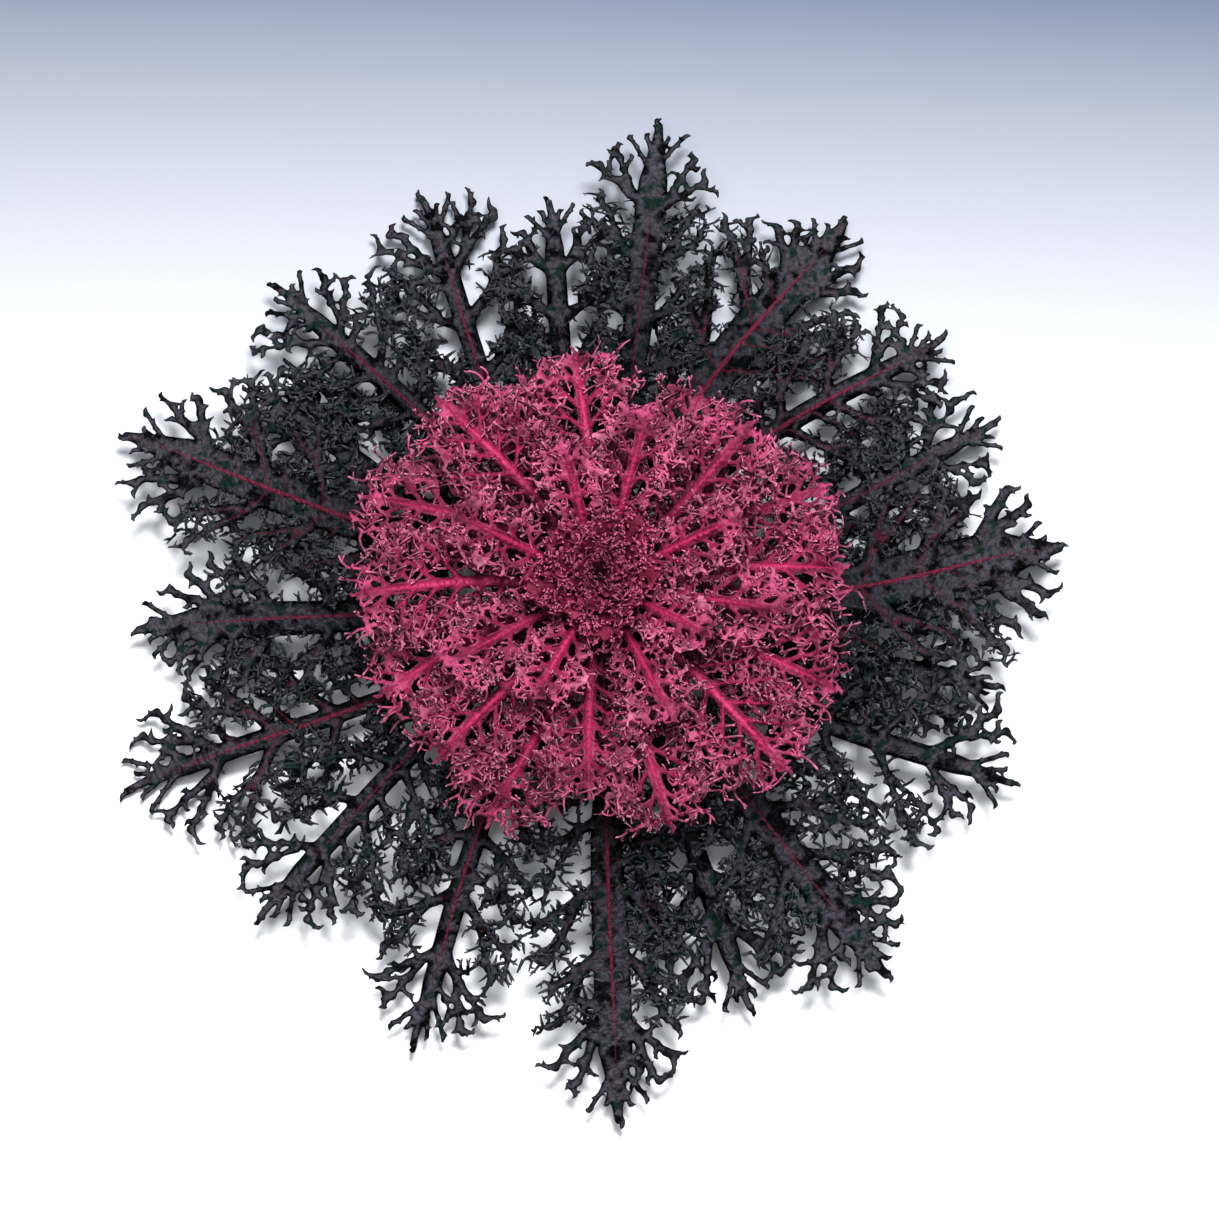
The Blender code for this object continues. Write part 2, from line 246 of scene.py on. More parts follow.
DARK_FORM = Form(
    lobes=5,
    petiole=0.2,
    arms=DARK_ARMS,
    web=(1.7 * MM, 3.4 * MM),
    stalk=(3.9 * MM, 2.4 * MM),
    rib=(2.0 * MM, 0.5 * MM),
    rib_rise=(1.5 * MM, 0.25 * MM),
    rib_depth=(2.4 * MM, 0.5 * MM),
    arm_width=(1.2 * MM, 0.6 * MM),
    arm_flare=1.6 * MM,
    spur_spacing=4.8 * MM,
    spur_from=0.26,
    spur_length=(2.2 * MM, 6.2 * MM),
    spur_width=0.68 * MM,
    spur_flare=0.9 * MM,
    barb_spacing=3.0 * MM,
    barb_length=(1.2 * MM, 2.2 * MM),
    barb_width=0.5 * MM,
    point=0.5,
    between=0.55,
    grid=0.40 * MM,
    blend=5.0 / MM,
    spacing=0.95 * MM,
    mesh=3.0 * MM,
    thickness=1.0,
    veins=(1.0, 0.52, 0.0, 0.0),
    ruffle=((3.2 * MM, 31 * MM), (2.2 * MM, 12 * MM)),
    keel=0.06,
    tooth_spacing=2.7 * MM,
    tooth_length=(2.2 * MM, 5.0 * MM),
    tooth_radius=0.42 * MM,
    tooth_flat=(1.5, 0.7),
    tooth_profile=(1.3, 1.0, 0.5),
    tooth_curl=1.1,
    # How far along the leaf the painted shade at its foot reaches, as a share of its length, and the
    # share of that shade the curls take.
    shaded=1.25,
    shaded_teeth=0.3,
    vein_strength=(0.3, 1.0),
    tooth_rise=(-25, 75),
    tooth_from=5.0 * MM,
    tooth_inner=0.8,
)
MAGENTA_FORM = Form(
    lobes=7,
    petiole=0.14,
    arms=MAGENTA_ARMS,
    web=(1.7 * MM, 2.0 * MM),
    stalk=(3.2 * MM, 2.7 * MM),
    rib=(3.3 * MM, 0.7 * MM),
    rib_rise=(1.2 * MM, 0.4 * MM),
    rib_depth=(1.4 * MM, 0.5 * MM),
    arm_width=(0.6 * MM, 0.45 * MM),
    arm_flare=0.5 * MM,
    spur_spacing=3.9 * MM,
    spur_from=0.34,
    spur_length=(1.6 * MM, 4.8 * MM),
    spur_width=0.42 * MM,
    spur_flare=0.15 * MM,
    barb_spacing=3.4 * MM,
    barb_length=(1.0 * MM, 1.9 * MM),
    barb_width=0.4 * MM,
    point=0.9,
    between=0.0,
    grid=0.29 * MM,
    blend=5.2 / MM,
    spacing=0.95 * MM,
    mesh=2.0 * MM,
    thickness=0.95,
    veins=(1.0, 0.6, 0.15, 0.0),
    ruffle=((2.2 * MM, 17 * MM), (1.6 * MM, 7.5 * MM)),
    keel=0.10,
    tooth_spacing=4.0 * MM,
    tooth_length=(2.0 * MM, 6.0 * MM),
    tooth_radius=0.43 * MM,
    tooth_flat=(1.0, 1.0),
    tooth_profile=(1.3, 1.0, 0.85, 0.75),
    tooth_curl=1.2,
    shaded=0.85,
    shaded_teeth=1.0,
    vein_strength=(0.55, 1.05),
    tooth_rise=(-30, 50),
    tooth_from=3.6 * MM,
    tooth_inner=1.1,
)
HEART_FORM = MAGENTA_FORM.but(
    lobes=4,
    petiole=0.25,
    arms=[((0.46, 0.0), (0.60, 1.0))],
    web=(0.6 * MM, 1.1 * MM),
    stalk=(1.0 * MM, 0.9 * MM),
    rib=(0.6 * MM, 0.3 * MM),
    rib_rise=(0.3 * MM, 0.1 * MM),
    rib_depth=(0.5 * MM, 0.2 * MM),
    arm_flare=0.6 * MM,
    spur_spacing=1.8 * MM,
    spur_length=(1.0 * MM, 1.8 * MM),
    grid=0.22 * MM,
    spacing=0.7 * MM,
    mesh=1.1 * MM,
    thickness=0.8,
    ruffle=((0.9 * MM, 6 * MM), (0.5 * MM, 3 * MM)),
    keel=0.0,
    shaded=0.7,
    tooth_spacing=1.9 * MM,
    tooth_length=(1.2 * MM, 2.6 * MM),
    tooth_profile=(0.8, 0.75, 0.85, 1.15),
    tooth_radius=0.42 * MM,
    tooth_rise=(10, 88),
    tooth_from=0.5 * MM,
)
INNER_FORM = MAGENTA_FORM.but(
    lobes=5,
    petiole=0.12,
    web=(1.0 * MM, 1.9 * MM),
    stalk=(2.1 * MM, 2.0 * MM),
    rib=(2.5 * MM, 0.6 * MM),
    tooth_spacing=2.6 * MM,
    tooth_length=(1.5 * MM, 3.3 * MM),
    tooth_rise=(-35, 28),
    ruffle=((1.3 * MM, 12 * MM), (0.9 * MM, 6 * MM)),
    keel=0.0,
    shaded=0.5,
    tooth_from=2.6 * MM,
)


class LeafPath:
    """Where one leaf of the spiral lies: its midrib in plan, and its surface round the stem."""

    def __init__(self, order):
        self.order = order
        self.dark = order < DARK_COUNT
        self.share = (order - DARK_COUNT) / (MAGENTA_COUNT - 1)
        self.root_bearing = SPIRAL_START + GOLDEN_ANGLE * order
        listed = self.listing()
        self.reach = listed[0] * MM
        self.half_width = listed[2] * MM
        self.turn = (listed[1] - self.root_bearing + 180) % 360 - 180
        if self.dark:
            self.node = f"outer_leaf_{order + 1:02d}"
            self.root_height = DARK_ROOT + DARK_ROOT_STEP * order
        else:
            self.node = f"inner_leaf_{order - DARK_COUNT + 1:02d}"
            self.root_height = MAGENTA_ROOT + MAGENTA_ROOT_STEP * (order - DARK_COUNT)
        inner = order >= DARK_COUNT + len(MAGENTA_LEAVES)
        self.form = DARK_FORM if self.dark else INNER_FORM if inner else MAGENTA_FORM
        self.root = self.root_in_frame()
        self.plate = PLATES.get(order, 0.0) if self.dark else 0.0
        self.vein = random.Random(300 + order).uniform(*self.form.vein_strength)
        self.vein = max(self.vein, min(1.0, PLATE_VEINS * self.plate))
        self.dim = 0.0

    def listing(self):
        if self.dark:
            return DARK_LEAVES[self.order]
        index = self.order - DARK_COUNT
        if index < len(MAGENTA_LEAVES):
            return MAGENTA_LEAVES[index]
        share = (index - len(MAGENTA_LEAVES)) / (MAGENTA_COUNT - 1 - len(MAGENTA_LEAVES))
        return between(INNER_REACH, share), self.root_bearing, between(INNER_HALF_WIDTH, share)

    def root_in_frame(self):
        """Distance from the axis at which the solid leaf begins."""
        if self.node not in bpy.data.objects:
            raise RuntimeError(f"The frame has no solid called {self.node}")
        mesh = bpy.data.objects[self.node].data
        points = np.empty(len(mesh.vertices) * 3)
        mesh.vertices.foreach_get("co", points)
        points = points.reshape(-1, 3)
        return float(np.hypot(points[:, 0], points[:, 1]).min()) + 0.1 * MM

    def height(self, x, y):
        """Height of the leaf's upper face over points in plan, and its slope outwards."""
        r = np.hypot(x, y)
        swell = SWELL * smooth((r - SWELL_IN[0]) / (SWELL_IN[1] - SWELL_IN[0]))
        swell = swell * (1 - smooth((r - SWELL_OUT[0]) / (SWELL_OUT[1] - SWELL_OUT[0])))
        swell = swell * np.sin(SWELL_COUNT * np.arctan2(y, x) + 40 * r)
        return self.level(r) + swell

    def level(self, r):
        if self.dark:
            along = (r - DARK_ROOT_AT) / (DARK_RIM_AT - DARK_ROOT_AT)
            rim = DARK_RIM + DARK_RIM_STEP * self.order
            return between((self.root_height, rim), along) + DARK_ARCH * np.sin(math.pi * along)
        level_at = between(MAGENTA_LEVEL_AT, self.share)
        left = np.maximum(0, 1 - (r - MAGENTA_ROOT_AT) / (level_at - MAGENTA_ROOT_AT))
        level = self.root_height + between(MAGENTA_RISE, self.share) * (1 - left * left)
        low, high = MAGENTA_DROOP_SPAN
        return level - MAGENTA_DROOP * smooth((r - low) / (high - low)) ** 2

    def ruffle(self, s, t):
        """How far the blade waves off its surface, more towards its edges."""
        rng = random.Random(500 + self.order)
        wide = np.abs(t) / self.half_width
        lift = self.form.keel * np.abs(t)
        for side in (-1, 1):
            here = (t * side > 0) * np.minimum(wide, 1.2) ** 1.3
            for size, length in self.form.ruffle:
                phase = rng.uniform(0, 2 * math.pi)
                slant = rng.uniform(0.2, 0.8)
                size = size * rng.uniform(0.7, 1.2)
                turn = 2 * math.pi * (s + slant * np.abs(t)) / length + phase
                lift = lift + here * size * np.sin(turn)
        return lift

    def place(self, points):
        """World places of points given in leaf coordinates, one (s, t, h) a row."""
        s, t, h = points.T
        span = self.reach - self.root
        x = np.clip((s - self.root) / span, 0, 1)
        bearing = np.radians(self.root_bearing + self.turn * smooth(x))
        turning = np.radians(self.turn) * 6 * x * (1 - x) / span
        ahead_x = np.cos(bearing) - s * np.sin(bearing) * turning
        ahead_y = np.sin(bearing) + s * np.cos(bearing) * turning
        size = np.hypot(ahead_x, ahead_y)
        px = s * np.cos(bearing) - t * ahead_y / size
        py = s * np.sin(bearing) + t * ahead_x / size
        r = np.maximum(np.hypot(px, py), 1e-6)
        slope = (self.level(r + 0.5 * MM) - self.level(r - 0.5 * MM)) / MM
        tall = np.sqrt(1 + slope * slope)
        z = self.height(px, py) + self.ruffle(s, t)
        out = np.stack([px - h * slope / tall * px / r, py - h * slope / tall * py / r, z + h / tall])
        return out.T


class YoungLeafPath:
    """Where one young leaf of the heart lies: it stands up from the core, cupped, and curls out."""

    def __init__(self, order):
        share = order / (HEART_COUNT - 1)
        self.order = 60 + order
        self.dark = False
        self.form = HEART_FORM
        self.root = -1 * MM
        self.plate = 0.0
        self.vein = 1.0
        # Inner young leaves carry more painted shade, darkening the eye of the heart.
        self.dim = 0.65 * share**1.5
        self.reach = between(HEART_LENGTH, share)
        self.half_width = 0.42 * self.reach
        self.pitch = between(HEART_PITCH, share)
        bearing = math.radians(SPIRAL_START + GOLDEN_ANGLE * (DARK_COUNT + MAGENTA_COUNT + order))
        self.outward = np.array([math.cos(bearing), math.sin(bearing), 0])
        self.side = np.array([-self.outward[1], self.outward[0], 0])
        self.foot = np.array([0, 0, HEART_BASE + HEART_CORE_HEIGHT * (0.35 + 0.4 * share)])
        self.foot = self.foot + self.outward * HEART_CORE_RADIUS * (0.75 - 0.55 * share)

    ruffle = LeafPath.ruffle

    def place(self, points):
        s, t, h = points.T
        h = h + self.ruffle(s, t) + 0.045 / MM * t * t
        curl = np.radians(self.pitch - HEART_CURL * s / HEART_LENGTH[0])
        lean = np.radians(self.pitch - 2 * HEART_CURL * s / HEART_LENGTH[0])
        ahead = s * np.cos(curl) - h * np.sin(lean)
        rise = s * np.sin(curl) + h * np.cos(lean)
        out = self.foot + ahead[:, None] * self.outward + t[:, None] * self.side
        out[:, 2] += rise
        return out


class Branch:
    """One branch of a blade: its centre line in leaf coordinates and its half width along it."""

    def __init__(self, points, radii, level):
        self.points = np.array(points)
        self.radii = np.array(radii)
        self.level = level


def widths(width, end, flare, steps):
    """Half widths along a branch, flared where it leaves."""
    shares = [k / steps for k in range(steps + 1)]
    return [between((width, end), f) + flare * math.exp(-4 * f) for f in shares]


def add_spurs(branches, rng, points, level, form):
    """Short branches left and right along a line of points, and barbs along them in turn."""
    runs = [math.dist(a, b) for a, b in zip(points, points[1:])]
    length = sum(runs)
    spacing = form.spur_spacing if level == 2 else form.barb_spacing
    count = round(length / spacing)
    hand = rng.choice((-1, 1))
    for j in range(count + 1):
        hand = -hand
        f = min(0.98, (j + 0.8 + rng.uniform(-0.25, 0.25)) / (count + 0.8))
        if f < form.spur_from:
            continue
        left = f * length
        k = 0
        while k < len(runs) - 1 and left > runs[k]:
            left -= runs[k]
            k += 1
        share = left / runs[k]
        a, b = points[k], points[k + 1]
        foot = (a[0] + (b[0] - a[0]) * share, a[1] + (b[1] - a[1]) * share)
        heading = math.atan2(b[1] - a[1], b[0] - a[0])
        heading += math.radians(rng.uniform(*SPUR_ANGLE)) * hand
        if level == 2:
            size = between(form.spur_length, rng.random() ** 1.3) * (0.75 + 0.35 * f)
            width = form.spur_width
        else:
            size = rng.uniform(*form.barb_length)
            width = form.barb_width
        spur = [foot]
        bend = rng.uniform(-SPUR_BEND, SPUR_BEND)
        for _ in range(SPUR_STEPS):
            heading += bend / SPUR_STEPS
            spur.append((
                spur[-1][0] + size / SPUR_STEPS * math.cos(heading),
                spur[-1][1] + size / SPUR_STEPS * math.sin(heading),
            ))
        flare = form.spur_flare if level == 2 else 0.3 * width
        branches.append(Branch(spur, widths(width, form.point * width, flare, SPUR_STEPS), level))
        if level == 2:
            add_spurs(branches, rng, spur, 3, form)


def leaf_branches(path):
    """All branches of a leaf, the midrib first. The lobes have the places and lengths of the solid's."""
    form = path.form
    lobe_rng = random.Random(100 + path.order)
    rng = random.Random(900 + path.order)
    span = path.reach - path.root
    start = path.root + form.petiole * span
    last = path.reach - CROWN_SHARE * span
    step = (last - start) / form.lobes
    small = min(1.0, path.half_width / (17 * MM))
    if path.dark:
        small = between(BREADTH, PLATES.get(path.order, rng.uniform(*LACY)))
    ribs = []
    for k in range(RIB_STEPS + 1):
        s = path.root + k / RIB_STEPS * (span - 2 * MM)
        if s < start:
            half = between(form.stalk, (s - path.root) / (start - path.root))
        else:
            share = (s - start) / (path.reach - start)
            half = between(form.web, math.sin(math.pi * (0.06 + 0.72 * share)))
            half *= 1 - 0.8 * smooth((share - 0.78) / 0.22)
            half *= 1 + PLATE_BREADTH * path.plate * smooth(share / 0.3)
        ribs.append(((s - (SUNK if k == 0 else 0), 0.0), half))
    branches = [Branch([p for p, _ in ribs], [r for _, r in ribs], 0)]

    def lean(along):
        return math.radians(between(LOBE_LEAN, (along - start) / (last - start)))

    def lobe_length(along, full):
        """How far a lobe can reach before it leaves the leaf's outline, which narrows to its tip."""
        angle = lean(along)
        low, high = 0.0, path.half_width * full / math.sin(angle)
        for _ in range(16):
            middle = (low + high) / 2
            left = max(0.0, path.reach - along - middle * math.cos(angle)) / (TAPER * span)
            room = full * path.half_width * min(1.0, left) ** TAPER_POWER
            low, high = (middle, high) if middle * math.sin(angle) <= room else (low, middle)
        return low

    def arm(foot, shift, full, ends, side, thin):
        length = lobe_length(foot + step * (ends[1][0] + shift), full)
        bow = rng.uniform(-ARM_BOW, ARM_BOW)
        points = []
        for k in range(ARM_STEPS + 1):
            f = k / ARM_STEPS
            room = between((ends[0][0], ends[1][0]), math.sin(0.5 * math.pi * f))
            room += bow * math.sin(math.pi * f)
            distance = length * between((ends[0][1], ends[1][1]), f)
            along = foot + step * (room + shift)
            angle = lean(along)
            points.append((along + distance * math.cos(angle), side * distance * math.sin(angle)))
        low, high = form.arm_width
        flare = form.arm_flare if ends[0][1] == 0 else 0.4 * form.arm_flare
        branches.append(Branch(points, widths(low * thin, high * thin, flare, ARM_STEPS), 1))
        add_spurs(branches, rng, points, 2, form)

    for side in (1, -1):
        for k in range(form.lobes):
            share = (k + 0.5) / form.lobes
            foot = start + step * k
            full = between(LOBE_SHARE, math.sin(math.pi * (0.05 + 0.58 * share)))
            full *= lobe_rng.uniform(*LOBE_SPREAD)
            shift = lobe_rng.uniform(-LOBE_SHIFT, LOBE_SHIFT)
            lobe_rng.choice((-1, 1))
            for n, ends in enumerate(form.arms):
                thin = (1.0 if n == 0 else 0.8) * small
                if path.dark:
                    thin *= 0.55 + 0.45 * smooth(share / 0.6)
                arm(foot, shift, full, ends, side, thin)
            if rng.random() < form.between:
                arm(foot, shift, full, ((1.0, 0.0), (0.92, rng.uniform(0.4, 0.6))), side, 0.5)
    tail = path.reach - last
    for along, across in CROWN_ENDS:
        end = (last + along * tail, across * tail)
        foot = (last + (along - 0.45 - 0.5 * abs(across)) * tail, 0.0)
        middle = ((foot[0] + end[0]) / 2, 0.42 * end[1])
        thin = widths(form.spur_width * 1.2, form.spur_width, 0, 2)
        branches.append(Branch([foot, middle, end], thin, 2))
        add_spurs(branches, rng, [foot, middle, end], 3, form)
    return branches


class Field:
    """Distance to the edge of a blade over a grid, below zero inside it."""

    def __init__(self, low, high, grid, blend):
        self.low = np.array(low)
        self.grid = grid
        self.blend = blend
        self.shape = np.ceil((np.array(high) - self.low) / grid).astype(int) + 1
        self.total = np.zeros(self.shape)

    def stamp(self, branch):
        """Adds one branch, blended with what is there."""
        points, radii = branch.points, branch.radii
        margin = radii.max() + 4 / self.blend
        first = np.maximum(((points.min(0) - margin - self.low) / self.grid).astype(int), 0)
        last = ((points.max(0) + margin - self.low) / self.grid).astype(int) + 2
        last = np.minimum(last, self.shape)
        x = self.low[0] + self.grid * np.arange(first[0], last[0])[:, None]
        y = self.low[1] + self.grid * np.arange(first[1], last[1])[None, :]
        best = np.full((last[0] - first[0], last[1] - first[1]), 1.0)
        for a, b, ra, rb in zip(points[:-1], points[1:], radii[:-1], radii[1:]):
            run = b - a
            f = ((x - a[0]) * run[0] + (y - a[1]) * run[1]) / max(run @ run, 1e-12)
            f = np.clip(f, 0, 1)
            away = np.hypot(x - a[0] - f * run[0], y - a[1] - f * run[1])
            best = np.minimum(best, away - (ra + (rb - ra) * f))
        self.total[first[0] : last[0], first[1] : last[1]] += np.exp(-best * self.blend)

    def settle(self):
        self.values = -np.log(np.maximum(self.total, 1e-9)) / self.blend

    def at(self, points):
        g = (points - self.low) / self.grid
        i = np.clip(g[:, 0].astype(int), 0, self.shape[0] - 2)
        j = np.clip(g[:, 1].astype(int), 0, self.shape[1] - 2)
        u, v = g[:, 0] - i, g[:, 1] - j
        f = self.values
        low = f[i, j] * (1 - u) + f[i + 1, j] * u
        high = f[i, j + 1] * (1 - u) + f[i + 1, j + 1] * u
        return low * (1 - v) + high * v

    def outward(self, points):
        step = 0.5 * self.grid
        dx = self.at(points + [step, 0]) - self.at(points - [step, 0])
        dy = self.at(points + [0, step]) - self.at(points - [0, step])
        size = np.maximum(np.hypot(dx, dy), 1e-9)
        return np.stack([dx / size, dy / size], axis=1)

    def outlines(self):
        """Closed loops round the blade, each an array of points."""
        nx, ny = self.shape
        inside = self.values < 0
        corners = inside[:-1, :-1] + 2 * inside[1:, :-1] + 4 * inside[1:, 1:] + 8 * inside[:-1, 1:]
        across = np.arange(nx * ny).reshape(nx, ny)
        upward = across + nx * ny
        following = {}
        for case, steps in OUTLINE_STEPS.items():
            i, j = np.nonzero(corners == case)
            sides = [across[i, j], upward[i + 1, j], across[i, j + 1], upward[i, j]]
            for a, b in steps:
                following.update(zip(sides[a].tolist(), sides[b].tolist()))
        loops = []
        while following:
            first, at = following.popitem()
            loop = [first]
            while at != first:
                loop.append(at)
                at = following.pop(at)
            loops.append(self.crossings(np.array(loop)))
        return loops

    def crossings(self, ids):
        """Points where the blade's edge crosses the grid lines named by ids."""
        nx, ny = self.shape
        is_up = ids >= nx * ny
        i, j = (ids % (nx * ny)) // ny, ids % ny
        i_next, j_next = i + ~is_up, j + is_up
        a, b = self.values[i, j], self.values[i_next, j_next]
        f = a / (a - b)
        return self.low + self.grid * np.stack([i + (i_next - i) * f, j + (j_next - j) * f], axis=1)


def evenly(loop, spacing):
    """The loop with its points at equal distances, or None if it is too small to keep."""
    closed = np.vstack([loop, loop[:1]])
    lengths = np.hypot(*np.diff(closed, axis=0).T)
    if lengths.sum() < 3.2 * spacing:
        return None
    count = max(9, round(lengths.sum() / spacing))
    reached = np.concatenate([[0], np.cumsum(lengths)])
    wanted = np.arange(count) * reached[-1] / count
    return np.stack([np.interp(wanted, reached, closed[:, k]) for k in (0, 1)], axis=1)


def along_lines(branches, spacing, strengths):
    """Points along the centre lines of branches, and how strongly each one is a vein."""
    points, veins = [], []
    for branch in branches:
        for a, b in zip(branch.points[:-1], branch.points[1:]):
            count = max(1, round(float(np.hypot(*(b - a))) / spacing))
            for k in range(count):
                points.append(a + (b - a) * k / count)
                veins.append(strengths[branch.level])
    return np.array(points), np.array(veins)


def fill(field, form, branches):
    """The flat blade: points, triangles, points on the edge, veins, and the border's own points."""
    loops = [evenly(loop, form.spacing) for loop in field.outlines()]
    loops = [loop for loop in loops if loop is not None]
    border = np.vstack(loops)
    edges = []
    for loop in loops:
        first = len(edges)
        count = len(loop)
        edges += [(first + k, first + (k + 1) % count) for k in range(count)]
    lines, veins = along_lines(branches, 0.9 * form.spacing, form.veins)
    rows, row_veins = rib_rows(branches[0], form)
    mesh = np.stack(np.meshgrid(
        np.arange(field.low[0], field.low[0] + field.grid * field.shape[0], form.mesh),
        np.arange(field.low[1], field.low[1] + field.grid * field.shape[1], form.mesh),
    ), axis=-1).reshape(-1, 2)
    mesh = mesh[field.at(mesh) < -0.8 * form.spacing]
    inner = np.vstack([lines, rows, mesh])
    strength = np.concatenate([veins, row_veins, np.zeros(len(mesh))])
    keep = field.at(inner) < -0.3 * form.spacing
    inner, strength = thinned(inner[keep], strength[keep], 0.5 * form.spacing)
    points = np.vstack([border, inner])
    given = [Vector(p) for p in points.tolist()]
    made, _, faces, sources, _, _ = delaunay_2d_cdt(given, edges, [], 0, 1e-9, True)
    verts, faces = np.array([p[:] for p in made]), np.array(faces)
    faces = joined(faces[field.at(verts[faces].mean(1)) < 0])
    known = np.concatenate([np.zeros(len(border)), strength])
    known = known[np.array([min(s) if s else 0 for s in sources])]
    return (*split_chords(verts, faces, known), border)


def edges_of(faces):
    """Every edge of the triangles once, lower corner first, and how many triangles share it."""
    pairs = np.concatenate([faces[:, [0, 1]], faces[:, [1, 2]], faces[:, [2, 0]]])
    return np.unique(np.sort(pairs, axis=1), axis=0, return_counts=True)


def joined(faces):
    """The triangles that share a side with another."""
    sides = np.sort(faces[:, [[0, 1], [1, 2], [2, 0]]], axis=2).reshape(-1, 2)
    _, where, counts = np.unique(sides, axis=0, return_inverse=True, return_counts=True)
    return faces[(counts[where.reshape(-1, 3)] > 1).any(1)]


def split_chords(verts, faces, known):
    """Halves each inner edge that joins two points of the rim, so that both faces can part there."""
    pairs, counts = edges_of(faces)
    on_rim = np.zeros(len(verts), dtype=bool)
    on_rim[pairs[counts == 1]] = True
    chords = pairs[(counts > 1) & on_rim[pairs[:, 0]] & on_rim[pairs[:, 1]]]
    middle = {tuple(pair): len(verts) + k for k, pair in enumerate(chords.tolist())}
    whole, parts = [], []
    for face in faces.tolist():
        cuts = [middle.get((min(a, b), max(a, b))) for a, b in zip(face, face[1:] + face[:1])]
        number = 3 - cuts.count(None)
        if number == 0:
            whole.append(face)
            continue
        while cuts[0] is None or (number == 2 and cuts[1] is None):
            face, cuts = face[1:] + face[:1], cuts[1:] + cuts[:1]
        (a, b, c), (m, n, o) = face, cuts
        if number == 1:
            parts += [(a, m, c), (m, b, c)]
        elif number == 2:
            parts += [(a, m, c), (m, n, c), (m, b, n)]
        else:
            parts += [(a, m, o), (m, b, n), (n, c, o), (m, n, o)]
    verts = np.vstack([verts, verts[chords].mean(1)])
    known = np.concatenate([known, known[chords].mean(1)])
    on_rim = np.concatenate([on_rim, np.zeros(len(chords), dtype=bool)])
    faces = np.array(whole + parts)
    used, places = np.unique(faces, return_inverse=True)
    return verts[used], places.reshape(-1, 3), on_rim[used], known[used]


def rib_rows(rib, form):
    """Points either side of the midrib, so that its ridge has an edge."""
    rows, veins = [], []
    low, high = rib.points[0][0], rib.points[-1][0]
    count = int((high - low) / (1.6 * form.spacing))
    for k in range(count):
        f = (k + 0.5) / count
        half = between(form.rib, f)
        for across, vein in ((-1.0, 0.2), (-0.5, 0.6), (0.5, 0.6), (1.0, 0.2)):
            rows.append((low + (high - low) * f, across * half))
            veins.append(vein)
    return np.array(rows), np.array(veins)


def thinned(points, values, spacing):
    """Leaves out points that share a small square with one before them."""
    _, first = np.unique(np.floor(points / spacing).astype(int), axis=0, return_index=True)
    first.sort()
    return points[first], values[first]


class Shape:
    """Points, triangles and surface values gathered for one mesh."""

    def __init__(self):
        self.points, self.faces = [], []
        # The foot value carries painted shade. On the dark leaves the rim value is painted shade and the
        # tip value painted highlight.
        self.values = {"vein": [], "tip": [], "rim": [], "foot": []}
        self.count = 0

    def add(self, points, faces, **values):
        """Adds points and triangles. Surface values that aren't given are 0."""
        self.points.append(points)
        self.faces.append(faces + self.count)
        for label, parts in self.values.items():
            parts.append(np.broadcast_to(values.get(label, 0.0), len(points)))
        self.count += len(points)

    def build(self, name, material):
        points = np.concatenate(self.points)
        faces = np.concatenate(self.faces)
        if not np.isfinite(points).all() or len(faces) >= MOST_TRIANGLES:
            raise RuntimeError(f"{name} has a point that isn't a number, or {len(faces)} triangles")
        mesh = bpy.data.meshes.new(name)
        mesh.vertices.add(len(points))
        mesh.vertices.foreach_set("co", points.astype(np.float32).ravel())
        mesh.loops.add(3 * len(faces))
        mesh.loops.foreach_set("vertex_index", faces.astype(np.int32).ravel())
        mesh.polygons.add(len(faces))
        mesh.polygons.foreach_set("loop_start", np.arange(0, 3 * len(faces), 3, dtype=np.int32))
        for label, parts in self.values.items():
            layer = mesh.attributes.new(label, "FLOAT", "POINT")
            layer.data.foreach_set("value", np.concatenate(parts).astype(np.float32))
        mesh.update(calc_edges=True)
        mesh.polygons.foreach_set("use_smooth", np.ones(len(faces), dtype=bool))
        mesh.materials.append(material)
        piece = bpy.data.objects.new(name, mesh)
        bpy.context.scene.collection.objects.link(piece)
        return piece


def blade_points(verts, faces, on_edge, field, path, blade):
    """Gives the flat blade its two faces. The last value says which flat points have one below them."""
    form = path.form
    deep = np.clip(-field.at(verts) / EDGE_DEPTH, 0, 1)
    half = between((EDGE_SHARE, 1), np.sqrt(deep))
    half = np.where(on_edge, 0, blade * form.thickness * half)
    f = np.clip((verts[:, 0] - path.root) / (path.reach - path.root), 0, 1)
    near = np.clip(1 - (np.abs(verts[:, 1]) / between(form.rib, f)) ** 2, 0, 1) * ~on_edge
    top = half + near * between(form.rib_rise, f)
    bottom = -half - near * between(form.rib_depth, f)
    inner = np.nonzero(~on_edge)[0]
    below = np.arange(len(verts))
    below[inner] = len(verts) + np.arange(len(inner))
    points = np.concatenate([
        np.column_stack([verts, top]),
        np.column_stack([verts[inner], bottom[inner]]),
    ])
    triangles = np.concatenate([faces, below[faces][:, ::-1]])
    return points, triangles, inner


